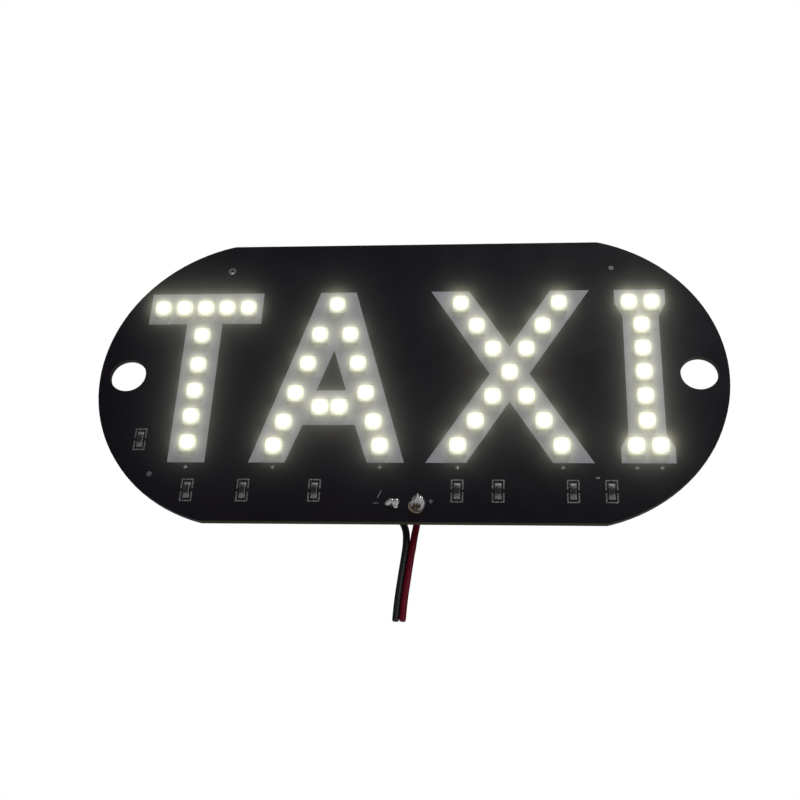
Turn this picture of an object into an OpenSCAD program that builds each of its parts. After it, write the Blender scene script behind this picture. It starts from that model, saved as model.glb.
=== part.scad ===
// Windscreen taxi sign: a bare circuit board with rounded ends and 45 surface-mount LEDs.
// The LEDs stand on white printed block letters. Two large holes take suction cups.
// Millimetres. +X right, +Z up, lit face towards -Y. The origin is on the lit face,
// half way between the two suction cup holes.

/* [Board] */
// Overall width of the board
board_w = 190; // [188:0.5:200]
// Overall height of the board, between its straight long edges
board_h = 96.7; // [94.5:0.1:97]
// Thickness of the board with the solder mask on both faces
board_t = 1.6; // [1.2:0.2:2.4]
// Radius of the arc at each end, a little over half the height
end_r = 49.8; // [49:0.2:52]

/* [Suction cup holes] */
// Radius of each hole
cup_hole_r = 5.5; // [4:0.1:5.8]
// Distance between the two hole centres
cup_hole_spacing = 172.6; // [171:0.2:175]

/* [Printed letters] */
// Height of the letters
letter_h = 59.4; // [58:0.2:61]
// Width of an upright stroke
stroke_w = 11.2; // [9:0.2:12]
// Width of the bar over the first letter
t_bar_w = 35.8; // [33:0.2:38]
// Width of the second letter at its feet
a_foot_span = 45.8; // [44:0.2:47]
// Width across the middles of the third letter's arm ends
x_arm_span = 36.8; // [35:0.2:38]
// Width of the blocks that end the fourth letter
i_block_w = 15.4; // [14:0.2:17]

/* [LEDs] */
// Side of the square LED package
led_size = 5; // [4.6:0.1:5.4]
// Height of the LED package above the board
led_h = 1.6; // [1.4:0.1:2]
// Diameter of the round light window in the package
led_window_d = 4; // [3.4:0.1:4.2]
// Distance between LED rows in the third and fourth letters
row_pitch = 8.2; // [8:0.1:8.3]
// Distance between LEDs along the first letter's bar
bar_pitch = 6.8; // [6.5:0.1:6.9]

/* [Resistors] */
// Length of a chip resistor
resistor_l = 3.2; // [2.8:0.1:3.4]
// Width of a chip resistor
resistor_w = 1.6; // [1.2:0.1:1.8]
// Height of a chip resistor
resistor_h = 0.6; // [0.5:0.05:0.8]

/* [Supply lead] */
// Diameter of each insulated wire
lead_d = 1.9; // [1.4:0.1:1.9]
// Diameter of the tinned conductor in each wire
conductor_d = 0.9; // [0.6:0.1:1.1]
// Diameter of the front pad around the black wire's hole
black_pad_d = 2.1; // [1.9:0.1:3.2]
// Diameter of the front pad around the red wire's hole
red_pad_d = 4.8; // [4.6:0.1:5.4]

/* [Hidden] */
$fn = 48;
mask_t = 0.05;
copper_t = 0.05;
ink_t = 0.03;
gap = 0.05;
mask_relief = 0.25;
outline_drop = 0.3;
score_w = 0.15;
score_d = 0.5;
trace_w = 0.7;
tiny = 0.01;
over = 1;

// Letter centres and the heights that shape the letters
t_x = -64.5;
a_x = -22.9;
x_x = 30.5;
i_x = 70.1;
t_bar_h = 11.3;
a_apex_w = 11.2;
a_bar_top = -5.6;
a_bar_bottom = -17.3;
a_foot_w = 10.8;
a_opening_w = 15.7;
a_counter_w = 9;
a_counter_top = 8.5;
x_arm_w = 11.8;
i_block_h = 5;
i_taper_h = 4.5;
i_stem_w = 10.8;
half_h = letter_h / 2;

// LED places, [x, z]
t_bar_z = 23.7;
t_stem_z = [13.6, 3.1, -6, -14.8, -23.6];
a_top_z = 24.5;
a_leg_z = [13.6, 3.3, -7, -16.7, -24.7];
a_leg_x = 4.7;
a_leg_slope = 0.287;
a_cross_z = -11.7;
a_cross_x = 2.95;
x_step = 5;
i_pair_x = 3.45;
t_leds = concat(
    [for (i = [-2:2]) [t_x + bar_pitch * i, t_bar_z]],
    [for (z = t_stem_z) [t_x, z]]);
a_leds = concat(
    [[a_x, a_top_z]],
    [for (z = a_leg_z, s = [-1, 1]) [a_x + s * a_leg_half(z), z]],
    [for (s = [-1, 1]) [a_x + s * a_cross_x, a_cross_z]]);
x_leds = concat(
    [[x_x, 0]],
    [for (k = [-3, -2, -1, 1, 2, 3], s = [-1, 1]) [x_x + s * x_step * k, row_pitch * k]]);
i_leds = concat(
    [for (k = [-2:2]) [i_x, row_pitch * k]],
    [for (k = [-3, 3], s = [-1, 1]) [i_x + s * i_pair_x, row_pitch * k]]);
all_leds = concat(t_leds, a_leds, x_leds, i_leds);

// LED package details
window_depth = 0.9;
window_recess = 0.1;
corner_cut = 0.7;
tab_w = 0.9;
tab_t = 0.2;
tab_h = 0.8;
tab_pitch = 1.65;
foot_w = 4.2;
foot_l = 0.7;
led_pad_w = 4.6;
led_pad_l = 1.3;
led_pad_z = 2.7;
chip_size = 0.5;
chip_h = 0.15;

// Resistor places, [x, z], and details
resistor_row_z = -38.6;
resistor_row_x = [-63.1, -46.6, -25.6, 15.6, 27.3, 48.5, 59.3];
resistors = concat([[-79.3, -22.1]], [for (x = resistor_row_x) [x, resistor_row_z]]);
cap_l = 0.4;
resistor_pad_w = 1.9;
resistor_pad_l = 1.4;
resistor_pad_z = 1.8;
fillet_l = 0.7;
fillet_h = 0.45;
outline_w = 3.6;
outline_h = 7.2;
outline_line = 0.4;
outline_gap = 1;

// Printed marks: a plus under each lowest LED, a plus and a minus at the lead pads
mark_size = 1.2;
mark_line = 0.35;
faint_line = 0.16;
mark_z = -31.2;
mark_x = [-64.4, -38.4, -6.9, 15.6, 45.8, 66.7, 73.7];
minus_w = 1.6;
red_plus = [8.2, -41.9];
black_minus = [-7.5, -42.5];
black_slash = [[-7.1, -40.9], [-6.1, -38.5]];
stray_dash = [55.5, -34.4];
stray_size = [1, 0.5];

// Bare round pads: a via with a hole, and two plain discs
via_place = [-57.9, 38.3];
via_r = 1.25;
via_hole_r = 0.5;
disc_places = [[61.9, 37.9], [-75, -33.5]];
disc_r = 0.8;

// Lead holes and solder joints
black_place = [-2.8, -42.6];
red_place = [4.2, -43.2];
barrel_r = 0.8;
barrel_wall = 0.1;
back_pad_r = 1.7;
skirt_r = 1.3;
skirt_h = 0.5;
black_heap = [[0, 1.5], [0.8, 1.4], [1.5, 1], [1.9, 0.5], [2, 0]];
red_heap = [[0, 3.4], [0.3, 2.9], [0.8, 2.3], [1.5, 1.8], [2.1, 1], [2.3, 0]];
conductor_tip = 0.9;
insulation_y = 2.4;
conductor_r = conductor_d / 2;
bore_r = barrel_r - barrel_wall;

// Copper links under the mask
top_rail_z = 34.5;
bottom_rail_z = -46;
rail_left = -80;
rail_turn_x = -60;
rail_end_z = -27;
feed_x = 3;
feed_low_z = -30;
feed_rise = 5;

// Wire routes, [x, y, z], from the back of the board down to the cut ends
black_route = [
    [-2.8, 2.4, -42.6], [-2.8, 2.9, -42.6], [-2.65, 4.3, -42.8], [-2.2, 5.55, -43.3],
    [-1.5, 6.45, -44.1], [-0.65, 6.95, -45.15], [0.1, 7, -46.35], [0.6, 6.85, -47.7],
    [0.9, 6.6, -49.1], [1.05, 6.3, -51], [1.05, 6, -53.4], [0.85, 5.8, -55.8],
    [0.6, 5.6, -58.4], [0.3, 5.5, -61.2], [0, 5.4, -64.2], [-0.3, 5.3, -67.2],
    [-0.55, 5.2, -70.2], [-0.7, 5.2, -72.8], [-0.85, 5.2, -75.7]];
red_route = [
    [4.2, 2.4, -43.2], [4.2, 2.9, -43.2], [4.2, 4.3, -43.45], [4.15, 5.5, -44.15],
    [4.05, 6.4, -45.2], [3.9, 6.9, -46.45], [3.7, 6.95, -47.8], [3.5, 6.75, -49.2],
    [3.35, 6.5, -50.7], [3.2, 6.25, -52.3], [3.05, 6, -54], [2.8, 5.8, -55.8],
    [2.55, 5.6, -58.4], [2.25, 5.5, -61.2], [1.95, 5.4, -64.2], [1.65, 5.3, -67.2],
    [1.4, 5.2, -70.2], [1.25, 5.2, -72.8], [1.1, 5.2, -75.7]];
cord_sides = 8;

// Half the distance between the second letter's two leg LEDs at height z
function a_leg_half(z) = a_leg_x + a_leg_slope * (a_leg_z[0] - z);

// Unit vector
function unit(v) = v / norm(v);

// Direction of a route at point i
function tangent(route, i) =
    unit(route[min(i + 1, len(route) - 1)] - route[max(i - 1, 0)]);

// Places children, drawn flat with y as height, as a sheet between two depths
module sheet(front, back) {
    translate([0, back, 0])
        rotate([90, 0, 0])
            linear_extrude(back - front)
                children();
}

// Repeats children at each [x, z] place
module at(places) {
    for (p = places)
        translate([p[0], 0, p[1]])
            children();
}

// The same for flat drawings
module flat_at(places) {
    for (p = places)
        translate(p)
            children();
}

// A straight strip between two flat points
module strip(a, b, w) {
    translate((a + b) / 2)
        rotate(atan2(b[1] - a[1], b[0] - a[0]))
            square([norm(b - a) + w, w], center = true);
}

// A round wire swept along a route
module cord(route, d) {
    n = cord_sides;
    last = len(route) - 1;
    points = [
        for (i = [0:last], k = [0:n - 1])
            let (t = tangent(route, i))
            let (u = unit(cross([1, 0, 0], t)))
            let (v = cross(t, u))
            let (angle = 360 * k / n)
            route[i] + d / 2 * (cos(angle) * u + sin(angle) * v)];
    sides = [
        for (i = [0:last - 1], k = [0:n - 1])
            let (a = i * n + k)
            let (b = i * n + (k + 1) % n)
            for (face = [[a, a + n, b], [b, a + n, b + n]])
                face];
    start_cap = [for (k = [0:n - 1]) k];
    end_cap = [for (k = [0:n - 1]) last * n + n - 1 - k];
    polyhedron(points, concat([start_cap], sides, [end_cap]));
}

// Flat outlines ---------------------------------------------------------------

// The outline lies a little low around the suction cup holes
module board_outline(inset = 0) {
    translate([0, -outline_drop])
        intersection() {
            square([board_w, board_h - 2 * inset], center = true);
            union() {
                square([board_w - 2 * end_r, 2 * end_r], center = true);
                for (s = [-1, 1])
                    translate([s * (board_w / 2 - end_r), 0])
                        circle(end_r, $fn = 180);
            }
        }
}

module cup_holes_flat(extra = 0) {
    for (s = [-1, 1])
        translate([s * cup_hole_spacing / 2, 0])
            circle(cup_hole_r + extra, $fn = 96);
}

module lead_holes_flat(r) {
    flat_at([black_place, red_place])
        circle(r);
}

module wire_pads_flat(extra = 0) {
    translate(black_place)
        circle(black_pad_d / 2 + extra);
    translate(red_place)
        circle(red_pad_d / 2 + extra);
}

module led_pads_flat(extra = 0) {
    for (p = all_leds, s = [-1, 1])
        translate([p[0], p[1] + s * led_pad_z])
            square([led_pad_w + 2 * extra, led_pad_l + 2 * extra], center = true);
}

module resistor_pads_flat(extra = 0) {
    for (p = resistors, s = [-1, 1])
        translate([p[0], p[1] + s * resistor_pad_z])
            square([resistor_pad_w + 2 * extra, resistor_pad_l + 2 * extra], center = true);
}

module fiducials_flat(extra = 0) {
    translate(via_place)
        circle(via_r + extra);
    flat_at(disc_places)
        circle(disc_r + extra);
}

// Links from LED to LED, a rail along the top and a rail along the resistors
module traces_flat() {
    top = led_pad_z;
    difference() {
        union() {
            strip([t_leds[0][0], top_rail_z], [i_leds[8][0], top_rail_z], trace_w);
            strip([rail_turn_x, bottom_rail_z], [resistors[7][0], bottom_rail_z], trace_w);
            strip([rail_left, rail_end_z], [rail_turn_x, bottom_rail_z], trace_w);
            strip([rail_left, rail_end_z], resistors[0] - [0, resistor_pad_z], trace_w);
            for (x = resistor_row_x)
                strip([x, bottom_rail_z], [x, resistor_row_z - resistor_pad_z], trace_w);
            for (p = [t_leds[0], t_leds[1], t_leds[2], t_leds[3], t_leds[4], a_leds[0]])
                strip([p[0], p[1] + top], [p[0], top_rail_z], trace_w);
            for (p = [x_leds[11], x_leds[12], i_leds[7], i_leds[8]])
                strip([p[0], p[1] + top], [p[0], top_rail_z], trace_w);
            strip(t_leds[0] - [0, top], t_leds[4] - [0, top], trace_w);
            for (i = [5:8])
                strip(t_leds[i] - [0, top], t_leds[i + 1] + [0, top], trace_w);
            strip(t_leds[2] - [0, top], t_leds[5] + [0, top], trace_w);
            for (i = [1:8])
                strip(a_leds[i] - [0, top], a_leds[i + 2] + [0, top], trace_w);
            for (s = [0, 1]) {
                strip(a_leds[0] - [0, top], a_leds[1 + s] + [0, top], trace_w);
                strip(a_leds[5 + s] - [0, top], a_leds[11 + s] + [0, top], trace_w);
                strip(a_leds[7 + s] + [0, top], a_leds[11 + s] - [0, top], trace_w);
            }
            for (i = [1, 2, 3, 4, 7, 8, 9, 10])
                strip(x_leds[i] + [0, top], x_leds[i + 2] - [0, top], trace_w);
            for (s = [0, 1]) {
                strip(x_leds[0] + [0, top], x_leds[7 + s] - [0, top], trace_w);
                strip(x_leds[0] - [0, top], x_leds[5 + s] + [0, top], trace_w);
                strip(i_leds[0] - [0, top], i_leds[5 + s] + [0, top], trace_w);
                strip(i_leds[4] + [0, top], i_leds[7 + s] - [0, top], trace_w);
            }
            for (i = [0:3])
                strip(i_leds[i] + [0, top], i_leds[i + 1] - [0, top], trace_w);
            link_to_resistor(t_leds[9], resistors[1]);
            link_to_resistor(a_leds[9], resistors[2]);
            link_to_resistor(a_leds[10], resistors[3]);
            link_to_resistor(x_leds[2], resistors[4]);
            link_to_resistor(x_leds[2], resistors[5]);
            link_to_resistor(x_leds[1], resistors[6]);
            link_to_resistor(i_leds[6], resistors[7]);
            strip(resistors[0] + [0, resistor_pad_z], t_leds[0] - [0, top], trace_w);
            strip(red_place, [red_place[0], bottom_rail_z], 3 * trace_w);
            strip(black_place, black_place + [0, feed_rise], 2 * trace_w);
            strip(black_place + [0, feed_rise], [feed_x, feed_low_z], 2 * trace_w);
            strip([feed_x, feed_low_z], [feed_x, top_rail_z], 2 * trace_w);
        }
        lead_holes_flat(barrel_r);
    }
}

module link_to_resistor(led, resistor) {
    strip(led - [0, led_pad_z], resistor + [0, resistor_pad_z], trace_w);
}

module letter_t_flat() {
    translate([t_x, half_h - t_bar_h / 2])
        square([t_bar_w, t_bar_h], center = true);
    translate([t_x, 0])
        square([stroke_w, letter_h], center = true);
}

module letter_a_flat() {
    foot_inner = a_foot_span / 2 - a_foot_w;
    translate([a_x, 0])
        difference() {
            polygon([
                [-a_foot_span / 2, -half_h], [-a_apex_w / 2, half_h],
                [a_apex_w / 2, half_h], [a_foot_span / 2, -half_h]]);
            polygon([
                [-foot_inner, -half_h - over], [-foot_inner, -half_h],
                [-a_opening_w / 2, a_bar_bottom], [a_opening_w / 2, a_bar_bottom],
                [foot_inner, -half_h], [foot_inner, -half_h - over]]);
            polygon([
                [-a_counter_w / 2, a_bar_top], [0, a_counter_top],
                [a_counter_w / 2, a_bar_top]]);
        }
}

module letter_x_flat() {
    inner = (x_arm_span - x_arm_w) / 2;
    outer = (x_arm_span + x_arm_w) / 2;
    notch = x_arm_w * half_h / x_arm_span;
    translate([x_x, 0])
        polygon([
            [0, notch], [inner, half_h], [outer, half_h], [x_arm_w / 2, 0],
            [outer, -half_h], [inner, -half_h], [0, -notch],
            [-inner, -half_h], [-outer, -half_h], [-x_arm_w / 2, 0],
            [-outer, half_h], [-inner, half_h]]);
}

module letter_i_flat() {
    block = i_block_w / 2;
    stem = i_stem_w / 2;
    shoulder = half_h - i_block_h;
    neck = shoulder - i_taper_h;
    translate([i_x, 0])
        polygon([
            [-block, half_h], [block, half_h], [block, shoulder], [stem, neck],
            [stem, -neck], [block, -shoulder], [block, -half_h],
            [-block, -half_h], [-block, -shoulder], [-stem, -neck],
            [-stem, neck], [-block, shoulder]]);
}

// Board -----------------------------------------------------------------------

// One flank of a V groove along the top edge, cut into the lit face
module edge_score() {
    reach = board_h / 2;
    slope = score_w / (score_d - mask_t);
    translate([-board_w / 2, 0, 0])
        rotate([90, 0, 90])
            linear_extrude(board_w)
                polygon([
                    [mask_t - over, reach - score_w - slope * over], [score_d, reach],
                    [score_d, reach + over], [mask_t - over, reach + over]]);
}

// The board was snapped from its panel along grooves in both faces of the long edges
module edge_scores() {
    translate([0, 0, -outline_drop])
        for (s = [0, 1])
            mirror([0, 0, s]) {
                edge_score();
                translate([0, board_t, 0])
                    mirror([0, 1, 0])
                        edge_score();
            }
}

module board_core() {
    color("#8f7a3c")
        difference() {
            sheet(mask_t, board_t - mask_t)
                difference() {
                    board_outline();
                    cup_holes_flat();
                    lead_holes_flat(barrel_r);
                    translate(via_place)
                        circle(via_hole_r);
                }
            sheet(mask_t - over, mask_t + copper_t)
                traces_flat();
            edge_scores();
        }
}

module front_mask() {
    color("#141416")
        sheet(0, mask_t)
            difference() {
                board_outline(score_w + mask_relief);
                cup_holes_flat(mask_relief);
                wire_pads_flat(gap);
                led_pads_flat(gap);
                resistor_pads_flat(gap);
                fiducials_flat(gap);
            }
}

module back_mask() {
    color("#141416")
        sheet(board_t - mask_t, board_t)
            difference() {
                board_outline(score_w + mask_relief);
                cup_holes_flat(mask_relief);
                lead_holes_flat(back_pad_r + gap);
                translate(via_place)
                    circle(via_hole_r);
            }
}

module copper_traces() {
    color("#b87333")
        sheet(mask_t, mask_t + copper_t)
            traces_flat();
}

module led_pads() {
    color("#c9ccd0")
        sheet(0, mask_t)
            led_pads_flat();
}

module resistor_pads() {
    color("#c9ccd0")
        sheet(0, mask_t)
            resistor_pads_flat();
}

module fiducial_pads() {
    color("#c9ccd0")
        sheet(0, mask_t)
            difference() {
                fiducials_flat();
                translate(via_place)
                    circle(via_hole_r);
            }
}

module lead_hole_plating() {
    color("#b9714a") {
        sheet(0, mask_t)
            difference() {
                wire_pads_flat();
                lead_holes_flat(bore_r);
            }
        sheet(mask_t, board_t - mask_t)
            difference() {
                lead_holes_flat(barrel_r);
                lead_holes_flat(bore_r);
            }
        sheet(board_t - mask_t, board_t)
            difference() {
                lead_holes_flat(back_pad_r);
                lead_holes_flat(bore_r);
            }
    }
}

// Printing --------------------------------------------------------------------

// White ink with windows around the LED pads
module printed_letter() {
    color("#d9dadd")
        sheet(-ink_t, 0)
            difference() {
                children();
                led_pads_flat(2 * gap);
            }
}

module letter_t() {
    printed_letter()
        letter_t_flat();
}

module letter_a() {
    printed_letter()
        letter_a_flat();
}

module letter_x() {
    printed_letter()
        letter_x_flat();
}

module letter_i() {
    printed_letter()
        letter_i_flat();
}

module resistor_outlines() {
    color("#d9dadd")
        sheet(-ink_t, 0)
            flat_at(resistors)
                difference() {
                    square([outline_w, outline_h], center = true);
                    square([outline_w, outline_h] - 2 * [outline_line, outline_line], center = true);
                    square([outline_w + over, outline_gap], center = true);
                }
}

module plus_flat() {
    square([mark_size, mark_line], center = true);
    square([mark_line, mark_size], center = true);
}

module printed_marks() {
    color("#d9dadd")
        sheet(-ink_t, 0) {
            for (x = mark_x)
                translate([x, mark_z])
                    plus_flat();
            translate(red_plus)
                plus_flat();
            translate(black_minus)
                square([minus_w, faint_line], center = true);
            strip(black_slash[0], black_slash[1], faint_line);
            translate(stray_dash)
                square(stray_size, center = true);
        }
}

// LEDs ------------------------------------------------------------------------

// Square package with one cut corner and a round well for the light window
module led_housing() {
    half = led_size / 2;
    color("#f2f2ee")
        difference() {
            sheet(-led_h, -mask_t)
                polygon([
                    [-half, -half], [half, -half], [half, half - corner_cut],
                    [half - corner_cut, half], [-half, half]]);
            sheet(-led_h - over, -led_h + window_recess + window_depth)
                circle(led_window_d / 2);
        }
}

// Yellow phosphor resin that fills the well around the three chips
module led_window() {
    floor_y = -led_h + window_recess + window_depth;
    color("#f0e060")
        difference() {
            sheet(-led_h + window_recess, floor_y)
                circle(led_window_d / 2 - tiny);
            sheet(floor_y - chip_h, floor_y + over)
                chips_flat();
        }
}

module chips_flat() {
    for (x = [-1, 0, 1])
        translate([x, 0])
            square(chip_size, center = true);
}

// Folded lead frame at each end: three tabs up the side and one foot on the pad
module led_terminal_pair() {
    half = led_size / 2;
    color("#c9ccd0")
        for (s = [-1, 1]) {
            sheet(-tab_h, -mask_t)
                for (k = [-1:1])
                    translate([k * tab_pitch, s * (half + tab_t / 2)])
                        square([tab_w, tab_t], center = true);
            sheet(-mask_t, 0)
                translate([0, s * (half + tab_t - foot_l / 2)])
                    square([foot_w, foot_l], center = true);
        }
}

module led_housings_t() {
    at(t_leds)
        led_housing();
}

module led_housings_a() {
    at(a_leds)
        led_housing();
}

module led_housings_x() {
    at(x_leds)
        led_housing();
}

module led_housings_i() {
    at(i_leds)
        led_housing();
}

module led_windows_t() {
    at(t_leds)
        led_window();
}

module led_windows_a() {
    at(a_leds)
        led_window();
}

module led_windows_x() {
    at(x_leds)
        led_window();
}

module led_windows_i() {
    at(i_leds)
        led_window();
}

module led_terminals_t() {
    at(t_leds)
        led_terminal_pair();
}

module led_terminals_a() {
    at(a_leds)
        led_terminal_pair();
}

module led_terminals_x() {
    at(x_leds)
        led_terminal_pair();
}

module led_terminals_i() {
    at(i_leds)
        led_terminal_pair();
}

module led_chips() {
    floor_y = -led_h + window_recess + window_depth;
    color("#3d5a8a")
        at(all_leds)
            sheet(floor_y - chip_h, floor_y)
                chips_flat();
}

// A wedge of solder: length along +Z, height along -Y, centred on X
module solder_wedge(w, l, h) {
    translate([-w / 2, 0, 0])
        rotate([90, 0, 90])
            linear_extrude(w)
                polygon([[0, 0], [-h, 0], [0, l]]);
}

module led_solder() {
    start = led_size / 2 + tab_t;
    color("#b9bcc1")
        at(all_leds)
            for (s = [0, 1])
                mirror([0, 0, s])
                    translate([0, 0, start])
                        solder_wedge(foot_w, led_pad_z + led_pad_l / 2 - start - gap, fillet_h);
}

// Resistors -------------------------------------------------------------------

module resistor_bodies() {
    color("#101012")
        at(resistors)
            sheet(-resistor_h + tiny, 0)
                square([resistor_w - 2 * tiny, resistor_l - 2 * cap_l], center = true);
}

module resistor_caps() {
    color("#b9bcc1")
        at(resistors)
            for (s = [-1, 1])
                sheet(-resistor_h, 0)
                    translate([0, s * (resistor_l - cap_l) / 2])
                        square([resistor_w, cap_l], center = true);
}

module resistor_solder() {
    color("#b9bcc1")
        at(resistors)
            for (s = [0, 1])
                mirror([0, 0, s])
                    translate([0, 0, resistor_l / 2])
                        solder_wedge(resistor_w, fillet_l, fillet_h);
}

// Supply lead -----------------------------------------------------------------

// Solder that fills a lead hole, with a skirt behind it and a heap of given profile in front
module solder_joint(place, heap) {
    profile = concat(
        [[0, conductor_tip]],
        heap,
        [[bore_r, 0], [bore_r, -board_t], [skirt_r, -board_t],
         [conductor_r, -board_t - skirt_h], [conductor_r, conductor_tip]]);
    color("#c4c7cb")
        translate([place[0], 0, place[1]])
            rotate([90, 0, 0])
                rotate_extrude()
                    polygon(profile);
}

module black_solder_joint() {
    solder_joint(black_place, black_heap);
}

module red_solder_joint() {
    solder_joint(red_place, red_heap);
}

module conductor(place) {
    color("#c8926a")
        translate([place[0], insulation_y, place[1]])
            rotate([90, 0, 0])
                cylinder(r = conductor_r - tiny, h = insulation_y + conductor_tip - tiny);
}

module black_conductor() {
    conductor(black_place);
}

module red_conductor() {
    conductor(red_place);
}

module black_lead() {
    color("#0c0c0d")
        cord(black_route, lead_d);
}

module red_lead() {
    color("#6a0716")
        cord(red_route, lead_d);
}

board_core();
front_mask();
back_mask();
copper_traces();
led_pads();
resistor_pads();
fiducial_pads();
lead_hole_plating();
letter_t();
letter_a();
letter_x();
letter_i();
led_housings_t();
led_housings_a();
led_housings_x();
led_housings_i();
led_windows_t();
led_windows_a();
led_windows_x();
led_windows_i();
led_terminals_t();
led_terminals_a();
led_terminals_x();
led_terminals_i();
led_chips();
led_solder();
resistor_bodies();
resistor_caps();
resistor_solder();
resistor_outlines();
printed_marks();
black_solder_joint();
red_solder_joint();
black_conductor();
red_conductor();
black_lead();
red_lead();
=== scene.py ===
# A windscreen taxi sign: a black circuit board whose LEDs form a word, with two suction cup
# holes and a short twin lead. The frame is in metres, +X right, +Z up, lit face towards -Y.
# Details are built in millimetres on the lit face: u to the right, v up, h out of the board.

import math

import bmesh
import bpy
from mathutils import Matrix, Vector, noise


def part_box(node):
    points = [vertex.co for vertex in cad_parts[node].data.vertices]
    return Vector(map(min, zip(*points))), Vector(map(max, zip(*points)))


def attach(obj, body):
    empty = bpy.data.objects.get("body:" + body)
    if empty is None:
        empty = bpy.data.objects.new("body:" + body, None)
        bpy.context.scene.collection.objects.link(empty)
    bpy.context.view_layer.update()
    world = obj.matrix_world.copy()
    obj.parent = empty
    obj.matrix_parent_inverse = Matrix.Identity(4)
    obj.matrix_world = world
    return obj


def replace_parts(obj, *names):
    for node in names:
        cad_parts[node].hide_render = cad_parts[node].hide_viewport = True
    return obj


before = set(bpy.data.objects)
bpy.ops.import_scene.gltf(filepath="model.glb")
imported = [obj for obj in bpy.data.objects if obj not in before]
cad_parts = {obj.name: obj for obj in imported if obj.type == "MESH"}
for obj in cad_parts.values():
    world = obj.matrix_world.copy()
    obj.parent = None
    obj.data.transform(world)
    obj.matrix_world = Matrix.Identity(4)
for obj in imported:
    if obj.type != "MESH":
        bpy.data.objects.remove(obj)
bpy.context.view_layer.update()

MM = 0.001
BODY = "root"
LETTERS = ("t", "a", "x", "i")


# Camera --------------------------------------------------------------------------------

CAMERA_PLACE = (32.4, -324.8, -189.5)
CAMERA_AIM = (-2.0, 0.0, -8.9)
CAMERA_ROLL = 2.8
CAMERA_LENS = 56.4


def make_camera():
    """Looks up at the lit face from below and a little to the right."""
    camera = bpy.data.objects.new("camera", bpy.data.cameras.new("camera"))
    bpy.context.scene.collection.objects.link(camera)
    place = Vector(CAMERA_PLACE) * MM
    aim = Vector(CAMERA_AIM) * MM
    turn = (aim - place).to_track_quat("-Z", "Y").to_matrix().to_4x4()
    roll = Matrix.Rotation(math.radians(CAMERA_ROLL), 4, "Z")
    camera.matrix_world = Matrix.Translation(place) @ turn @ roll
    camera.data.lens = CAMERA_LENS
    camera.data.clip_start = 0.01
    bpy.context.scene.camera = camera


# Mesh building -------------------------------------------------------------------------

class Shape:
    """Collects points and faces in millimetres, and becomes one mesh object."""

    def __init__(self):
        self.points = []
        self.faces = []
        self.finishes = []
        self.glows = []

    def loop(self, points, glow=0.0):
        """Adds a ring of points, with one glow or a list of them, and returns their numbers."""
        first = len(self.points)
        self.points += [tuple(p) for p in points]
        self.glows += glow if isinstance(glow, list) else [glow] * len(points)
        return list(range(first, len(self.points)))

    def skin(self, loops, finish=0, caps=True):
        """Joins loops of equal length one after the other and closes both ends."""
        for a, b in zip(loops, loops[1:]):
            for i in range(len(a)):
                j = (i + 1) % len(a)
                self.faces.append((a[i], a[j], b[j], b[i]))
                self.finishes.append(finish)
        if caps:
            self.faces += [tuple(reversed(loops[0])), tuple(loops[-1])]
            self.finishes += [finish, finish]

    def build(self, name, slots, sharp=38.0, record_slot=None):
        """Makes the object, smooth except at edges sharper than the given angle."""
        mesh = bpy.data.meshes.new(name)
        mesh.from_pydata([Vector(p) * MM for p in self.points], [], self.faces)
        glow = mesh.attributes.new("glow", "FLOAT", "POINT")
        glow.data.foreach_set("value", self.glows)
        mesh.polygons.foreach_set("material_index", self.finishes)
        cleaner = bmesh.new()
        cleaner.from_mesh(mesh)
        bmesh.ops.recalc_face_normals(cleaner, faces=cleaner.faces)
        cleaner.to_mesh(mesh)
        cleaner.free()
        mesh.shade_smooth()
        mesh.set_sharp_from_angle(angle=math.radians(sharp))
        piece = bpy.data.objects.new(name, mesh)
        bpy.context.scene.collection.objects.link(piece)
        for slot in slots:
            mesh.materials.append(FINISHES[slot])
        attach(piece, BODY)
        return piece


def on_face(place, u, v, h):
    """A point of the lit face's own frame, around a place given as (x, z) in millimetres."""
    return (place[0] + u, -h, place[1] + v)


MERGE_DISTANCE = 0.001


def islands(node):
    """The low and high corners, in millimetres, of each separate solid of a CAD node."""
    solid = bmesh.new()
    solid.from_mesh(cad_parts[node].data)
    bmesh.ops.remove_doubles(solid, verts=solid.verts, dist=MERGE_DISTANCE * MM)
    seen = set()
    boxes = []
    for start in solid.verts:
        if start in seen:
            continue
        group = [start]
        seen.add(start)
        for vert in group:
            for edge in vert.link_edges:
                other = edge.other_vert(vert)
                if other not in seen:
                    seen.add(other)
                    group.append(other)
        low = Vector([min(v.co[k] for v in group) for k in range(3)]) / MM
        high = Vector([max(v.co[k] for v in group) for k in range(3)]) / MM
        boxes.append((low, high))
    solid.free()
    return boxes


def middle(box):
    """The (x, z) centre of a box."""
    low, high = box
    return ((low.x + high.x) / 2, (low.z + high.z) / 2)


def box_size(box):
    """The width along x and the length along z of a box."""
    low, high = box
    return high.x - low.x, high.z - low.z


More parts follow.
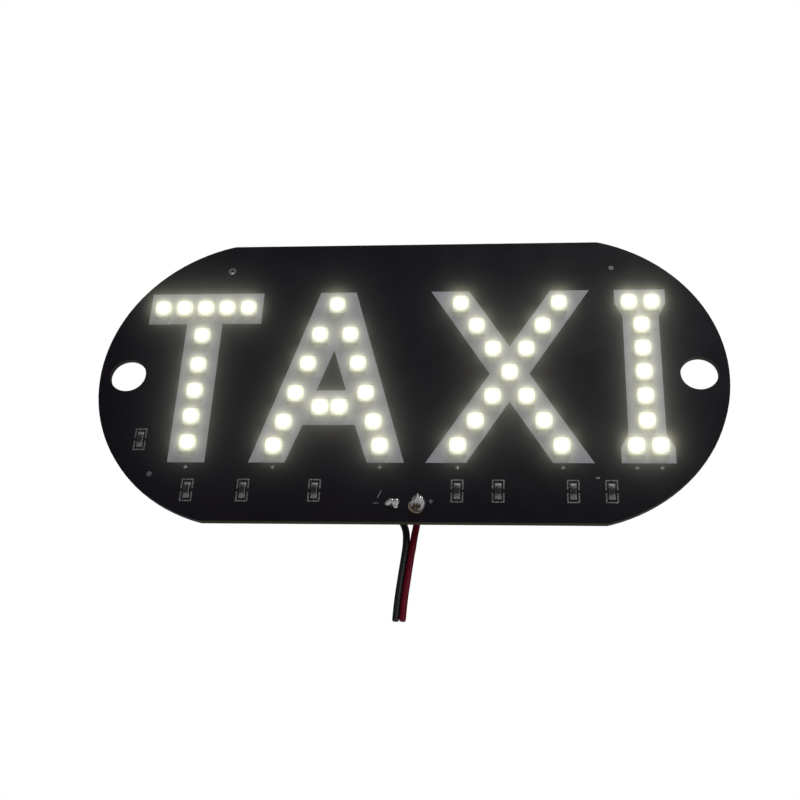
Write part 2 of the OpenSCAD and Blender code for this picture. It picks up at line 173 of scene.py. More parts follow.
def rounded_outline(corners, radius, arc_steps=3, side_steps=4):
    """A polygon's outline, anticlockwise, with round corners and points along its sides."""
    points = []
    count = len(corners)
    for i in range(count):
        before = Vector(corners[i - 1])
        corner = Vector(corners[i])
        after = Vector(corners[(i + 1) % count])
        incoming = (before - corner).normalized()
        outgoing = (after - corner).normalized()
        half_angle = incoming.angle(outgoing) / 2
        setback = radius / math.tan(half_angle)
        centre = corner + (incoming + outgoing).normalized() * radius / math.sin(half_angle)
        start = corner + incoming * setback - centre
        sweep = math.pi - 2 * half_angle
        for k in range(arc_steps + 1):
            turn = Matrix.Rotation(sweep * k / arc_steps, 2)
            points.append(centre + turn @ start)
        leave = corner + outgoing * setback
        next_half = (corner - after).angle(Vector(corners[(i + 2) % count]) - after) / 2
        arrive = after - outgoing * radius / math.tan(next_half)
        for k in range(1, side_steps):
            points.append(leave.lerp(arrive, k / side_steps))
    return points


def rectangle(width, length):
    """The corners of a rectangle, anticlockwise."""
    w, l = width / 2, length / 2
    return [(w, -l), (w, l), (-w, l), (-w, -l)]


def circle(radius, count):
    """Points round a circle, anticlockwise."""
    return [
        Vector((math.cos(math.tau * k / count), math.sin(math.tau * k / count))) * radius
        for k in range(count)
    ]


def block(shape, place, outline, low, high, bevel, finish=0):
    """A slab with soft top edges that stands on an outline between two heights."""
    reach = max(p.length for p in outline)
    tight = (reach - bevel) / reach
    levels = [(low, 1.0), (high - bevel, 1.0), (high - 0.3 * bevel, (1 + tight) / 2), (high, tight)]
    loops = [
        shape.loop([on_face(place, p.x * s, p.y * s, h) for p in outline])
        for h, s in levels
    ]
    shape.skin(loops, finish)


# Materials -----------------------------------------------------------------------------

class Finish:
    """A node material round one Principled shader. Texture scales are per millimetre."""

    def __init__(self, name, roughness, colour=(0.8, 0.8, 0.8), **sockets):
        self.material = bpy.data.materials.new(name)
        self.material.use_nodes = True
        self.tree = self.material.node_tree
        self.shader = self.tree.nodes["Principled BSDF"]
        self.set("Base Color", (*colour, 1))
        self.set("Roughness", roughness)
        for socket, value in sockets.items():
            self.set(socket.replace("_", " ").title().replace("Ior", "IOR"), value)
        place = self.node("ShaderNodeTexCoord").outputs["Object"]
        scale = self.node("ShaderNodeVectorMath", operation="SCALE")
        self.join(place, scale.inputs[0])
        scale.inputs["Scale"].default_value = 1 / MM
        self.place = scale.outputs[0]

    def set(self, socket, value):
        self.shader.inputs[socket].default_value = value

    def node(self, kind, **settings):
        made = self.tree.nodes.new(kind)
        for name, value in settings.items():
            setattr(made, name, value)
        return made

    def join(self, output, target):
        self.tree.links.new(output, target)

    def noise(self, scale, detail=3.0, stretch=(1, 1, 1)):
        """A soft random pattern, finer with a larger scale, stretched along its axes."""
        mapping = self.node("ShaderNodeMapping")
        mapping.inputs["Scale"].default_value = stretch
        self.join(self.place, mapping.inputs["Vector"])
        made = self.node("ShaderNodeTexNoise")
        made.inputs["Scale"].default_value = scale
        made.inputs["Detail"].default_value = detail
        self.join(mapping.outputs[0], made.inputs["Vector"])
        return made.outputs["Fac"]

    def cells(self, scale):
        """Distance to scattered points: small spots where it is near zero."""
        made = self.node("ShaderNodeTexVoronoi")
        made.inputs["Scale"].default_value = scale
        self.join(self.place, made.inputs["Vector"])
        return made.outputs["Distance"]

    def distance(self, centre, reach):
        """Distance from a point, in millimetres, as a share of a reach."""
        away = self.node("ShaderNodeVectorMath", operation="DISTANCE")
        away.inputs[1].default_value = centre
        self.join(self.place, away.inputs[0])
        share = self.node("ShaderNodeMath", operation="DIVIDE")
        share.inputs[1].default_value = reach
        self.join(away.outputs["Value"], share.inputs[0])
        return share.outputs[0]

    def attribute(self, name):
        """A value that the mesh carries at its points."""
        return self.node("ShaderNodeAttribute", attribute_name=name).outputs["Fac"]

    def ramp(self, factor, *stops):
        """Colours along a factor, each stop a position and a colour or a grey level."""
        made = self.node("ShaderNodeValToRGB")
        elements = made.color_ramp.elements
        while len(elements) < len(stops):
            elements.new(0.5)
        for element, (position, colour) in zip(elements, stops):
            element.position = position
            level = colour if isinstance(colour, tuple) else (colour,) * 3
            element.color = (*level, 1)
        self.join(factor, made.inputs["Fac"])
        return made.outputs["Color"]

    def mix(self, factor, a, b, blend="MIX"):
        """Two colours, each a node output or fixed, mixed by a factor."""
        made = self.node("ShaderNodeMix", data_type="RGBA", blend_type=blend)
        for source, target in ((factor, "Factor"), (a, "A"), (b, "B")):
            slot = [s for s in made.inputs if s.name == target and s.enabled][0]
            if isinstance(source, (int, float)):
                slot.default_value = source
            elif isinstance(source, tuple):
                slot.default_value = (*source, 1)
            else:
                self.join(source, slot)
        return [s for s in made.outputs if s.enabled][0]

    def colour(self, output):
        self.join(output, self.shader.inputs["Base Color"])

    def rough(self, factor, low, high):
        """Roughness that follows a factor between two values."""
        made = self.node("ShaderNodeMapRange")
        made.inputs["To Min"].default_value = low
        made.inputs["To Max"].default_value = high
        self.join(factor, made.inputs["Value"])
        self.join(made.outputs["Result"], self.shader.inputs["Roughness"])

    def bumps(self, *heights):
        """Surface relief: pairs of a height pattern and its depth in millimetres."""
        below = None
        for height, depth in heights:
            made = self.node("ShaderNodeBump")
            made.inputs["Distance"].default_value = depth * MM
            self.join(height, made.inputs["Height"])
            if below:
                self.join(below, made.inputs["Normal"])
            below = made.outputs["Normal"]
        self.join(below, self.shader.inputs["Normal"])

    def emit(self, output, strength):
        self.join(output, self.shader.inputs["Emission Color"])
        self.set("Emission Strength", strength)


# The clean strip starts this far above and below the middle of the board.
STRIP_FROM = 47.65
STRIP_SCALE = 50.0


def laminate():
    """Glass cloth in dark epoxy, cut through; pale and clean where the long edges were scored."""
    made = Finish("laminate", 0.62, specular_ior_level=0.3)
    place = made.node("ShaderNodeSeparateXYZ")
    made.join(made.place, place.inputs[0])
    height = made.node("ShaderNodeMath", operation="ABSOLUTE")
    made.join(place.outputs["Z"], height.inputs[0])
    share = made.node("ShaderNodeMath", operation="DIVIDE")
    share.inputs[1].default_value = STRIP_SCALE
    made.join(height.outputs[0], share.inputs[0])
    layers = made.noise(1.0, 2.0, (0.4, 7.0, 0.4))
    fibres = made.noise(2.2, 4.0, (1.0, 0.3, 1.0))
    cloth = made.ramp(layers, (0.3, (0.006, 0.0045, 0.0022)), (0.7, (0.016, 0.0125, 0.0055)))
    frayed = made.ramp(fibres, (0.45, 0.0), (0.7, 0.5))
    rough = made.mix(frayed, cloth, (0.03, 0.024, 0.013))
    clean = made.ramp(fibres, (0.3, (0.02, 0.0165, 0.0045)), (0.7, (0.036, 0.03, 0.009)))
    along_edge = made.ramp(
        share.outputs[0], (STRIP_FROM / STRIP_SCALE, 0.0), ((STRIP_FROM + 0.15) / STRIP_SCALE, 1.0))
    near_face = made.ramp(place.outputs["Y"], (0.4, 1.0), (0.5, 0.0))
    strip = made.mix(1.0, along_edge, near_face, "MULTIPLY")
    made.colour(made.mix(strip, rough, clean))
    made.rough(fibres, 0.5, 0.75)
    made.bumps((layers, 0.03), (fibres, 0.05))
    return made.material


def solder_mask():
    """Satin black mask with faint haze, dust and an uneven, slightly wavy surface."""
    made = Finish("solder_mask", 0.32, specular_ior_level=0.27)
    clouds = made.noise(0.035, 4.0)
    grain = made.noise(2.5, 3.0)
    dust = made.ramp(made.cells(0.55), (0.0, 1.0), (0.035, 0.0))
    tint = made.ramp(
        clouds, (0.3, (0.0026, 0.0012, 0.004)), (0.7, (0.005, 0.0032, 0.0072)))
    made.colour(made.mix(dust, tint, (0.045, 0.043, 0.046)))
    made.rough(made.noise(0.12, 6.0), 0.22, 0.4)
    made.bumps((made.noise(0.4, 2.0), 0.012), (grain, 0.003))
    return made.material


def copper():
    """Bare copper, tarnished in patches."""
    made = Finish("copper", 0.35, metallic=1.0)
    tarnish = made.noise(1.2, 5.0)
    made.colour(made.ramp(tarnish, (0.3, (0.52, 0.24, 0.13)), (0.7, (0.82, 0.5, 0.34))))
    made.rough(tarnish, 0.25, 0.5)
    made.bumps((made.noise(6.0, 3.0), 0.004))
    return made.material


def tinned(name, tone, stretch=(1, 1, 1), smooth=0.2, rough=0.42):
    """Hot tinned metal: bright, a little cloudy, with a fine crystal grain."""
    made = Finish(name, 0.3, metallic=1.0)
    clouds = made.noise(1.1, 4.0)
    dull = tuple(0.62 * t for t in tone)
    made.colour(made.ramp(clouds, (0.25, dull), (0.7, tone)))
    made.rough(clouds, smooth, rough)
    made.bumps((made.noise(3.0, 3.0, stretch), 0.01), (made.cells(7.0), 0.003))
    return made.material


def plated_hole():
    """Plated copper ring, stained brown by flux."""
    made = Finish("plated_hole", 0.4, metallic=0.75)
    stain = made.noise(1.6, 5.0)
    made.colour(made.ramp(
        stain, (0.3, (0.22, 0.13, 0.09)), (0.5, (0.5, 0.36, 0.26)), (0.75, (0.66, 0.54, 0.44))))
    made.rough(stain, 0.22, 0.5)
    made.bumps((stain, 0.02))
    return made.material


# The marks' ink is darker round the plus beside the red wire's joint.
RED_PLUS = (8.2, 0, -41.9)
PLUS_DARK_REACH = 3.0
PLUS_DARK_SHARE = 0.35
WORN_DULLING = 0.4


def white_ink(name, light, deep, missing, dark_spot=None):
    """Thin screen-printed white, with a share of it missing, darker round a given spot."""
    made = Finish(name, 0.55)
    grain = made.noise(4.5, 3.0)
    print_tone = made.ramp(made.noise(0.25, 5.0), (0.3, deep), (0.7, light))
    if dark_spot:
        darkened = made.ramp(made.distance(dark_spot, PLUS_DARK_REACH), (0.5, 1.0), (1.0, 0.0))
        print_tone = made.mix(darkened, print_tone, tuple(PLUS_DARK_SHARE * t for t in deep))
    pinholes = made.ramp(made.cells(1.3), (0.0, 1.0), (0.05, 0.0))
    worn = made.ramp(made.noise(2.2, 4.0), (0.5 - missing, 1.0), (0.62 - missing, 0.0))
    gone = made.mix(1.0, pinholes, worn, "LIGHTEN")
    made.colour(made.mix(gone, print_tone, tuple(WORN_DULLING * t for t in deep)))
    made.rough(grain, 0.45, 0.68)
    made.bumps((grain, 0.008), (made.noise(0.9, 2.0), 0.01))
    return made.material


def led_housing():
    """White moulded plastic that the light leaks through, most around the window."""
    made = Finish("led_housing", 0.42)
    grain = made.noise(3.0, 3.0)
    made.colour(made.ramp(grain, (0.3, (0.36, 0.36, 0.34)), (0.7, (0.45, 0.45, 0.42))))
    made.rough(grain, 0.35, 0.5)
    made.bumps((grain, 0.006))
    leak = made.ramp(
        made.attribute("glow"), (0.0, 0.0), (0.5, (0.45, 0.5, 0.3)), (1.0, (1.0, 1.0, 0.72)))
    made.emit(leak, 1.0)
    return made.material


def led_phosphor():
    """Yellow resin, lit from inside: white in the middle, yellow-green at the rim."""
    made = Finish("led_phosphor", 0.25, (0.8, 0.74, 0.25))
    grain = made.noise(9.0, 2.0)
    made.colour(made.ramp(grain, (0.3, (0.75, 0.66, 0.16)), (0.7, (0.86, 0.8, 0.34))))
    made.bumps((grain, 0.004))
    core = made.ramp(
        made.attribute("glow"),
        (0.0, (0.02, 0.022, 0.013)), (0.25, (0.03, 0.032, 0.022)), (0.6, (0.07, 0.072, 0.055)),
        (0.9, (0.3, 0.31, 0.24)), (1.0, (1.0, 1.0, 0.84)))
    made.emit(core, 10.0)
    return made.material


def led_chip():
    """Polished blue-grey sapphire."""
    made = Finish("led_chip", 0.15)
    grain = made.noise(8.0, 2.0)
    made.colour(made.ramp(grain, (0.3, (0.12, 0.2, 0.4)), (0.7, (0.3, 0.42, 0.62))))
    made.bumps((grain, 0.003))
    return made.material


def resistor_body():
    """Black glassy overcoat with a soft wavy surface."""
    made = Finish("resistor_body", 0.3, specular_ior_level=0.35)
    grain = made.noise(4.0, 3.0)
    made.colour(made.ramp(grain, (0.3, (0.008, 0.008, 0.009)), (0.7, (0.02, 0.02, 0.022))))
    made.rough(grain, 0.25, 0.45)
    made.bumps((made.noise(1.5, 2.0), 0.02))
    return made.material


def ceramic():
    """Off-white alumina of the resistors' undersides and flanks."""
    made = Finish("resistor_ceramic", 0.5)
    grain = made.noise(7.0, 4.0)
    made.colour(made.ramp(grain, (0.3, (0.2, 0.195, 0.17)), (0.7, (0.3, 0.29, 0.26))))
    made.bumps((grain, 0.006))
    return made.material


def solder():
    """Hand-worked solder: silver, frosted in patches, with a skin of brown flux low down. The same dark
    brown is also painted shade low on the left lump.
    """
    made = Finish("solder", 0.25, metallic=1.0)
    frost = made.noise(0.9, 5.0)
    metal = made.ramp(frost, (0.3, (0.3, 0.3, 0.31)), (0.65, (0.62, 0.62, 0.63)))
    flux_and_shade = made.ramp(made.attribute("glow"), (0.0, 0.0), (1.0, 1.0))
    made.colour(made.mix(flux_and_shade, metal, (0.04, 0.029, 0.021)))
    made.rough(frost, 0.2, 0.46)
    made.bumps((made.noise(1.1, 4.0), 0.09), (made.noise(3.2, 4.0), 0.03))
    return made.material


def insulation(name, dark, light, shine):
    """Soft PVC with faint drawing marks along the wire and dusty patches."""
    made = Finish(name, 0.5, specular_ior_level=shine)
    marks = made.noise(3.0, 3.0, (1.0, 1.0, 0.08))
    made.colour(made.ramp(marks, (0.3, dark), (0.7, light)))
    made.rough(made.noise(0.8, 4.0), 0.34, 0.52)
    made.bumps((marks, 0.012), (made.noise(6.0, 2.0), 0.004))
    return made.material


FINISHES = {
    "laminate": laminate(),
    "solder_mask": solder_mask(),
    "copper": copper(),
    "tinned_pad": tinned("tinned_pad", (0.78, 0.78, 0.77)),
    "aged_pad": tinned("aged_pad", (0.2, 0.19, 0.2), (1, 1, 1), 0.5, 0.7),
    "plated_hole": plated_hole(),
    "white_ink": white_ink("white_ink", (0.285, 0.28, 0.308), (0.23, 0.226, 0.253), 0.28),
    "thin_ink": white_ink("thin_ink", (0.26, 0.26, 0.25), (0.16, 0.16, 0.155), 0.02),
    # The marks' ink is brighter than the letters': painted light of the lit LEDs on the plus marks beside
    # them.
    "mark_ink_with_painted_light": white_ink("mark_ink_with_painted_light", (0.46, 0.46, 0.47), (0.36, 0.36, 0.37), 0.02, RED_PLUS),
    "led_housing": led_housing(),
    "led_phosphor": led_phosphor(),
    "led_terminal": tinned("led_terminal", (0.66, 0.66, 0.63), (1.0, 1.0, 0.2), 0.4, 0.6),
    "led_chip": led_chip(),
    "resistor_body": resistor_body(),
    "ceramic": ceramic(),
    "resistor_cap": tinned("resistor_cap", (0.19, 0.19, 0.175), (1, 1, 1), 0.5, 0.7),
    "matt_solder": tinned("matt_solder", (0.26, 0.26, 0.24), (1, 1, 1), 0.45, 0.7),
    "solder": solder(),
    "black_insulation": insulation(
        "black_insulation", (0.002, 0.0019, 0.0017), (0.006, 0.0057, 0.005), 0.45),
    "red_insulation": insulation(
        "red_insulation", (0.08, 0.0008, 0.007), (0.14, 0.0012, 0.0135), 0.17),
}

CAD_FINISHES = {
    "laminate": ["board_core"],
    "solder_mask": ["front_mask", "back_mask"],
    "copper": ["copper_traces", "black_conductor", "red_conductor"],
    "tinned_pad": ["led_pads", "resistor_pads"],
    "plated_hole": ["lead_hole_plating"],
    "white_ink": ["letter_" + letter for letter in LETTERS],
    "thin_ink": ["resistor_outlines"],
    "mark_ink_with_painted_light": ["printed_marks"],
    "led_chip": ["led_chips"],
}


def finish_cad_nodes():
    """Gives each CAD node that stays its finish."""
    for slot, nodes in CAD_FINISHES.items():
        for node in nodes:
            for material_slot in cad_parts[node].material_slots:
                material_slot.material = FINISHES[slot]


# The lead ------------------------------------------------------------------------------

# The web is the thin skin of insulation between the two wires.
LEAD_D = 1.9
CORD_SIDES = 32
WEB_OVERLAP = 0.02
WEB_REACH = 0.16
WEB_SPREAD = 0.32
STRAND_R = 0.13
STRANDS_BACK = 0.3
STRAND_UNEVEN = 0.03
BLACK_ROUTE = [
    (-2.8, 2.4, -42.6), (-2.8, 2.9, -42.6), (-2.65, 4.3, -42.8), (-2.2, 5.55, -43.3),
    (-1.5, 6.45, -44.1), (-0.65, 6.95, -45.15), (0.1, 7, -46.35), (0.6, 6.85, -47.7),
    (0.9, 6.6, -49.1), (1.05, 6.3, -51), (1.05, 6, -53.4), (0.85, 5.8, -55.8),
    (0.6, 5.6, -58.4), (0.3, 5.5, -61.2), (0, 5.4, -64.2), (-0.3, 5.3, -67.2),
    (-0.55, 5.2, -70.2), (-0.7, 5.2, -72.8), (-0.85, 5.2, -75.7)]
RED_ROUTE = [
    (4.2, 2.4, -43.2), (4.2, 2.9, -43.2), (4.2, 4.3, -43.45), (4.15, 5.5, -44.15),
    (4.05, 6.4, -45.2), (3.9, 6.9, -46.45), (3.7, 6.95, -47.8), (3.5, 6.75, -49.2),
    (3.35, 6.5, -50.7), (3.2, 6.25, -52.3), (3.05, 6, -54), (2.8, 5.8, -55.8),
    (2.55, 5.6, -58.4), (2.25, 5.5, -61.2), (1.95, 5.4, -64.2), (1.65, 5.3, -67.2),
    (1.4, 5.2, -70.2), (1.25, 5.2, -72.8), (1.1, 5.2, -75.7)]


def smoothed(route, steps=4):
    """A curve through a route's points, finer by the given number of steps."""
    points = [Vector(p) for p in route]
    ends = [2 * points[0] - points[1]] + points + [2 * points[-1] - points[-2]]
    curve = []
    for a, b, c, d in zip(ends, ends[1:], ends[2:], ends[3:]):
        for k in range(steps):
            t = k / steps
            curve.append(
                0.5 * (2 * b + (c - a) * t + (2 * a - 5 * b + 4 * c - d) * t * t
                       + (3 * b - a - 3 * c + d) * t ** 3))
    return curve + [points[-1]]


def wire_rings(route, partner):
    """Frames along a wire: centre, forward direction, the way to its twin, and how far it is."""
    rings = []
    last = len(route) - 1
    for i, centre in enumerate(route):
        forward = (route[min(i + 1, last)] - route[max(i - 1, 0)]).normalized()
        twin = min(partner, key=lambda p: (p - centre).length)
        away = twin - centre
        side = (away - forward * away.dot(forward)).normalized()
        rings.append((centre, forward, side, away.length))
    return rings


def wire_section(ring, radius, web):
    """A wire's round section, drawn out towards its twin where the two are still joined."""
    centre, forward, side, distance = ring
    upright = forward.cross(side)
    reach = max(0.0, min(distance / 2 + WEB_OVERLAP - radius, WEB_REACH)) if web else 0.0
    points = []
    for k in range(CORD_SIDES):
        angle = math.tau * k / CORD_SIDES
        turn = min(angle, math.tau - angle)
        r = radius + reach * math.exp(-(turn / WEB_SPREAD) ** 2)
        points.append(centre + (side * math.cos(angle) + upright * math.sin(angle)) * r)
    return points


def make_wire(name, route, partner, slot):
    """Insulation cut square at both ends, hollow there so that the strands show."""
    shape = Shape()
    radius = LEAD_D / 2
    lip = [(-0.9, 0.45), (-0.15, 0.46), (-0.03, 0.52), (0.0, radius - 0.22), (-0.07, radius - 0.07)]
    rings = wire_rings(route, partner)
    ends = []
    for (centre, forward, side, distance), way in ((rings[0], -1), (rings[-1], 1)):
        steps = []
        for along, r in lip:
            ring = (centre + forward * way * along, forward, side, distance)
            steps.append(shape.loop(wire_section(ring, r, False)))
        ends.append(steps)
    body = [shape.loop(wire_section(ring, radius, True)) for ring in rings[1:-1]]
    shape.skin(ends[0] + body + ends[1][::-1])
    return shape.build(name, [slot])


def make_strands(name, route, partner):
    """Seven copper strands that end just inside the cut insulation."""
    shape = Shape()
    centre, forward, side, _ = wire_rings(route, partner)[-1]
    upright = forward.cross(side)
    places = [(0.0, 0.0)] + [
        (2 * STRAND_R * math.cos(a), 2 * STRAND_R * math.sin(a))
        for a in (math.tau * k / 6 + 0.2 for k in range(6))]
    for n, (u, v) in enumerate(places):
        axis = centre + side * u + upright * v
        tip = -STRANDS_BACK + STRAND_UNEVEN * math.sin(2.1 * n)
        loops = []
        for along, r in ((-1.0, STRAND_R), (tip - 0.04, STRAND_R), (tip, 0.6 * STRAND_R)):
            end = axis + forward * along
            loops.append(shape.loop([end + side * p.x + upright * p.y for p in circle(r, 12)]))
        shape.skin(loops)
    return shape.build(name, ["copper"])


def make_lead():
    """The black and the red wire, joined side by side below the board."""
    black = smoothed(BLACK_ROUTE)
    red = smoothed(RED_ROUTE)
    for colour, route, twin, length in (("black", black, red, 0.037), ("red", red, black, 0.0355)):
        wire = make_wire(colour + "_wire", route, twin, colour + "_insulation")
        strands = make_strands(colour + "_wire_strands", route, twin)
        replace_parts(wire, colour + "_lead")


# LEDs ----------------------------------------------------------------------------------

# Heights are above the lit face. A glow is how much light a point of the package lets out.
LED_CORNER = 0.16
LED_CUT = 0.7
LED_DRAFT = 0.08
CORNER_FADE = 2.9
SEAM_H = 0.8
WINDOW_R = 2.0
WELL_R = 1.72
WELL_FLOOR = 0.66
TAB_W = 0.9
TAB_T = 0.12
TAB_PITCH = 1.65
TAB_BEND = 0.1
TAB_FOOT_H = 0.08
TAB_ANGLES = (0.5, 1.05, 1.57)
TAB_SECTION = [(-1, 0.75), (-0.9, 1), (0.9, 1), (1, 0.75), (1, -0.75), (0.9, -1), (-0.9, -1), (-1, -0.75)]


def led_outline(half):
    """A square package's outline with one corner cut off."""
    cut = half - LED_CUT
    return rounded_outline(
        [(half, -half), (half, cut), (cut, half), (-half, half), (-half, -half)], LED_CORNER)


def add_led_housing(shape, box):
    """A package with drafted sides, a parting seam and a round sloping well."""
    low, high = box
    place = middle(box)
    foot, top = -high.y, -low.y
    half = (high.x - low.x) / 2
    outline = led_outline(half)
    levels = [
        (foot, half - LED_DRAFT, 0.16), (SEAM_H - 0.06, half - 0.01, 0.2), (SEAM_H - 0.03, half, 0.2),
        (SEAM_H + 0.03, half, 0.2), (SEAM_H + 0.06, half - 0.01, 0.2),
        (top - 0.14, half - LED_DRAFT, 0.14), (top - 0.04, half - LED_DRAFT - 0.04, 0.1),
        (top, half - LED_DRAFT - 0.14, 0.07)]
    loops = []
    for h, reach, glow in levels:
        points = [on_face(place, p.x * reach / half, p.y * reach / half, h) for p in outline]
        glows = [glow * (1 - CORNER_FADE * (p.length / half - 1)) for p in outline]
        loops.append(shape.loop(points, glows))
    round_levels = [
        (top, WINDOW_R + 0.14, 0.12), (top - 0.02, WINDOW_R + 0.05, 0.2),
        (top - 0.08, WINDOW_R - 0.01, 0.36), (WELL_FLOOR, WELL_R, 1.0)]
    loops += [
        shape.loop([on_face(place, *(p.normalized() * r), h) for p in outline], glow)
        for h, r, glow in round_levels]
    shape.skin(loops)


def add_led_window(shape, box):
    """Resin that fills the well, with a slightly hollow surface that creeps up the wall."""
    place = middle(box)
    top = -box[0].y
    floor = WELL_FLOOR + 0.02
    levels = [
        (floor, WELL_R - 0.03, 0.0), (top - 0.02, WINDOW_R - 0.035, 0.0), (top, WINDOW_R - 0.06, 0.1),
        (top - 0.015, WINDOW_R - 0.14, 0.25), (top - 0.045, 1.6, 0.6), (top - 0.06, 1.2, 0.9),
        (top - 0.07, 0.7, 1.0), (top - 0.072, 0.25, 1.0)]
    loops = [
        shape.loop([on_face(place, p.x, p.y, h) for p in circle(r, 40)], glow)
        for h, r, glow in levels]
    shape.skin(loops)


def add_led_terminals(shape, box):
    """Three folded leads on each side: out of the seam, down, and under the package."""
    low, high = box
    place = middle(box)
    half = (high.x - low.x) / 2
    out = half + 0.02
    shoulder = SEAM_H - TAB_BEND
    ankle = TAB_FOOT_H + TAB_BEND
    line = [(half - 0.25, SEAM_H), (out, SEAM_H)]
    for a in TAB_ANGLES:
        line.append((out + TAB_BEND * math.sin(a), shoulder + TAB_BEND * math.cos(a)))
    for a in (0.0, *TAB_ANGLES):
        line.append((out + TAB_BEND * math.cos(a), ankle - TAB_BEND * math.sin(a)))
    line.append((half - 0.5, TAB_FOOT_H))
    for end in (-1, 1):
        for k in (-1, 0, 1):
            loops = []
            for i, centre in enumerate(line):
                before = Vector(line[max(i - 1, 0)])
                after = Vector(line[min(i + 1, len(line) - 1)])
                along = (after - before).normalized()
                across = Vector((-along.y, along.x)) * TAB_T / 2
                ring = []
                for u, side in TAB_SECTION:
                    spot = Vector(centre) + across * side
                    ring.append(on_face(place, k * TAB_PITCH + u * TAB_W / 2, end * spot.x, spot.y))
                loops.append(shape.loop(ring))
            shape.skin(loops)


FILLET_ACROSS = 36
FILLET_DOWN = 8
FILLET_LIFT = 0.004
LED_FILLET_TUCK = 0.06
LED_FILLET_SPREAD = 0.3


def add_fillet(shape, place, start, end, width, height, tabs):
    """Concave solder from a lead's upright face down to the rim of its pad."""
    direction = 1 if end > start else -1
    length = abs(end - start)
    loops = []
    for i in range(FILLET_ACROSS + 1):
        u = (i / FILLET_ACROSS - 0.5) * width
        edge = math.sqrt(max(0.0, 1 - (2 * u / width) ** 8))
        swell = max(math.exp(-((u - tab) / (0.42 * TAB_W)) ** 4) for tab in tabs)
        wobble = 0.06 * noise.noise(Vector((place[0] + 2.1 * u, place[1], start)))
        h = height * (0.3 + 0.7 * swell) * (0.15 + 0.85 * edge) * (1 + wobble)
        reach = length * (0.86 + 0.14 * swell + wobble) * (0.55 + 0.45 * edge)
        ring = []
        for k in range(FILLET_DOWN + 1):
            t = k / FILLET_DOWN
            rise = h * (1 - t) ** 1.9 + FILLET_LIFT
            ring.append(on_face(place, u, start + direction * reach * t, rise))
        ring.append(on_face(place, u, start + direction * reach, -0.002))
        ring.append(on_face(place, u, start - direction * 0.04, -0.002))
        loops.append(shape.loop(ring))
    shape.skin(loops)


def pad_ends(box, owner):
    """The inner and outer ends of a pad's solder, and on which side of its part it lies."""
    low, high = box
    if middle(box)[1] > owner[1]:
        return low.z, high.z, 1
    return high.z, low.z, -1


def make_leds():
    """Packages, windows and leads for each letter, then the solder of all of them."""
    centres = []
    for letter in LETTERS:
        housings, windows, terminals = Shape(), Shape(), Shape()
        for box in islands("led_housings_" + letter):
            centres.append(middle(box))
            add_led_housing(housings, box)
            add_led_terminals(terminals, box)
        for box in islands("led_windows_" + letter):
            add_led_window(windows, box)
        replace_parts(housings.build("led_packages_" + letter, ["led_housing"]), "led_housings_" + letter)
        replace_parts(windows.build("led_resin_" + letter, ["led_phosphor"]), "led_windows_" + letter)
        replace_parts(terminals.build("led_legs_" + letter, ["led_terminal"]), "led_terminals_" + letter)
    fillets = Shape()
    for box in islands("led_solder"):
        led = min(centres, key=lambda c: math.dist(c, middle(box)))
        near, far, side = pad_ends(box, led)
        width, _ = box_size(box)
        add_fillet(
            fillets, (led[0], 0.0), near - side * LED_FILLET_TUCK, far, width + LED_FILLET_SPREAD,
            -box[0].y, [k * TAB_PITCH for k in (-1, 0, 1)])
    solder_fillets = fillets.build("led_solder_fillets", ["matt_solder"], record_slot="solder")
    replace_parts(solder_fillets, "led_solder")


# Resistors -----------------------------------------------------------------------------

CHIP_STANDOFF = 0.04
CHIP_FILLET_SPREAD = 0.24
CHIP_FILLET_PEAKS = [0.0, -0.4, 0.4]


def make_resistors():
    """Ceramic chips with a black overcoat, tinned ends and solder fillets."""
    bodies, caps, fillets = Shape(), Shape(), Shape()
    places = []
    for box in islands("resistor_bodies"):
        place = middle(box)
        places.append(place)
        width, length = box_size(box)
        top = -box[0].y
        slab = rounded_outline(rectangle(width - 0.04, length), 0.05)
        coat = rounded_outline(rectangle(width - 0.14, length - 0.06), 0.2)
        block(bodies, place, slab, CHIP_STANDOFF, top - 0.06, 0.04, 1)
        block(bodies, place, coat, top - 0.07, top - 0.01, 0.05, 0)
    for box in islands("resistor_caps"):
        outline = rounded_outline(rectangle(*box_size(box)), 0.09)
        block(caps, middle(box), outline, 0.0, -box[0].y, 0.09)
    for box in islands("resistor_solder"):
        owner = min(places, key=lambda c: math.dist(c, middle(box)))
        near, far, _ = pad_ends(box, owner)
        width, _ = box_size(box)
        add_fillet(
            fillets, (owner[0], 0.0), near, far, width + CHIP_FILLET_SPREAD,
            -box[0].y, CHIP_FILLET_PEAKS)
    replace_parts(bodies.build("resistor_chips", ["resistor_body", "ceramic"]), "resistor_bodies")
    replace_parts(caps.build("resistor_ends", ["resistor_cap"]), "resistor_caps")
    solder_fillets = fillets.build("resistor_fillets", ["matt_solder"], record_slot="solder")
    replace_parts(solder_fillets, "resistor_solder")


# Pads and hand-made solder joints --------------------------------------------------------

# A pad's crown: heights, and how far in from the rim as a share. The bead: heights and radii.
PAD_CROWN = [(-0.04, 0.0), (0.0, 0.0), (0.02, 0.12), (0.028, 0.3), (0.026, 0.6), (0.02, 0.9)]
PAD_SIDES = 40
PAD_MIDDLE_R = 0.12
DRILLED_FROM_R = 1.0
VIA_R = 0.5
BEAD = [(0.0, 0.34), (0.06, 0.42), (0.14, 0.37), (0.2, 0.2), (0.21, 0.06)]
BEAD_STRETCH = 1.25
BEAD_DROP = 0.9


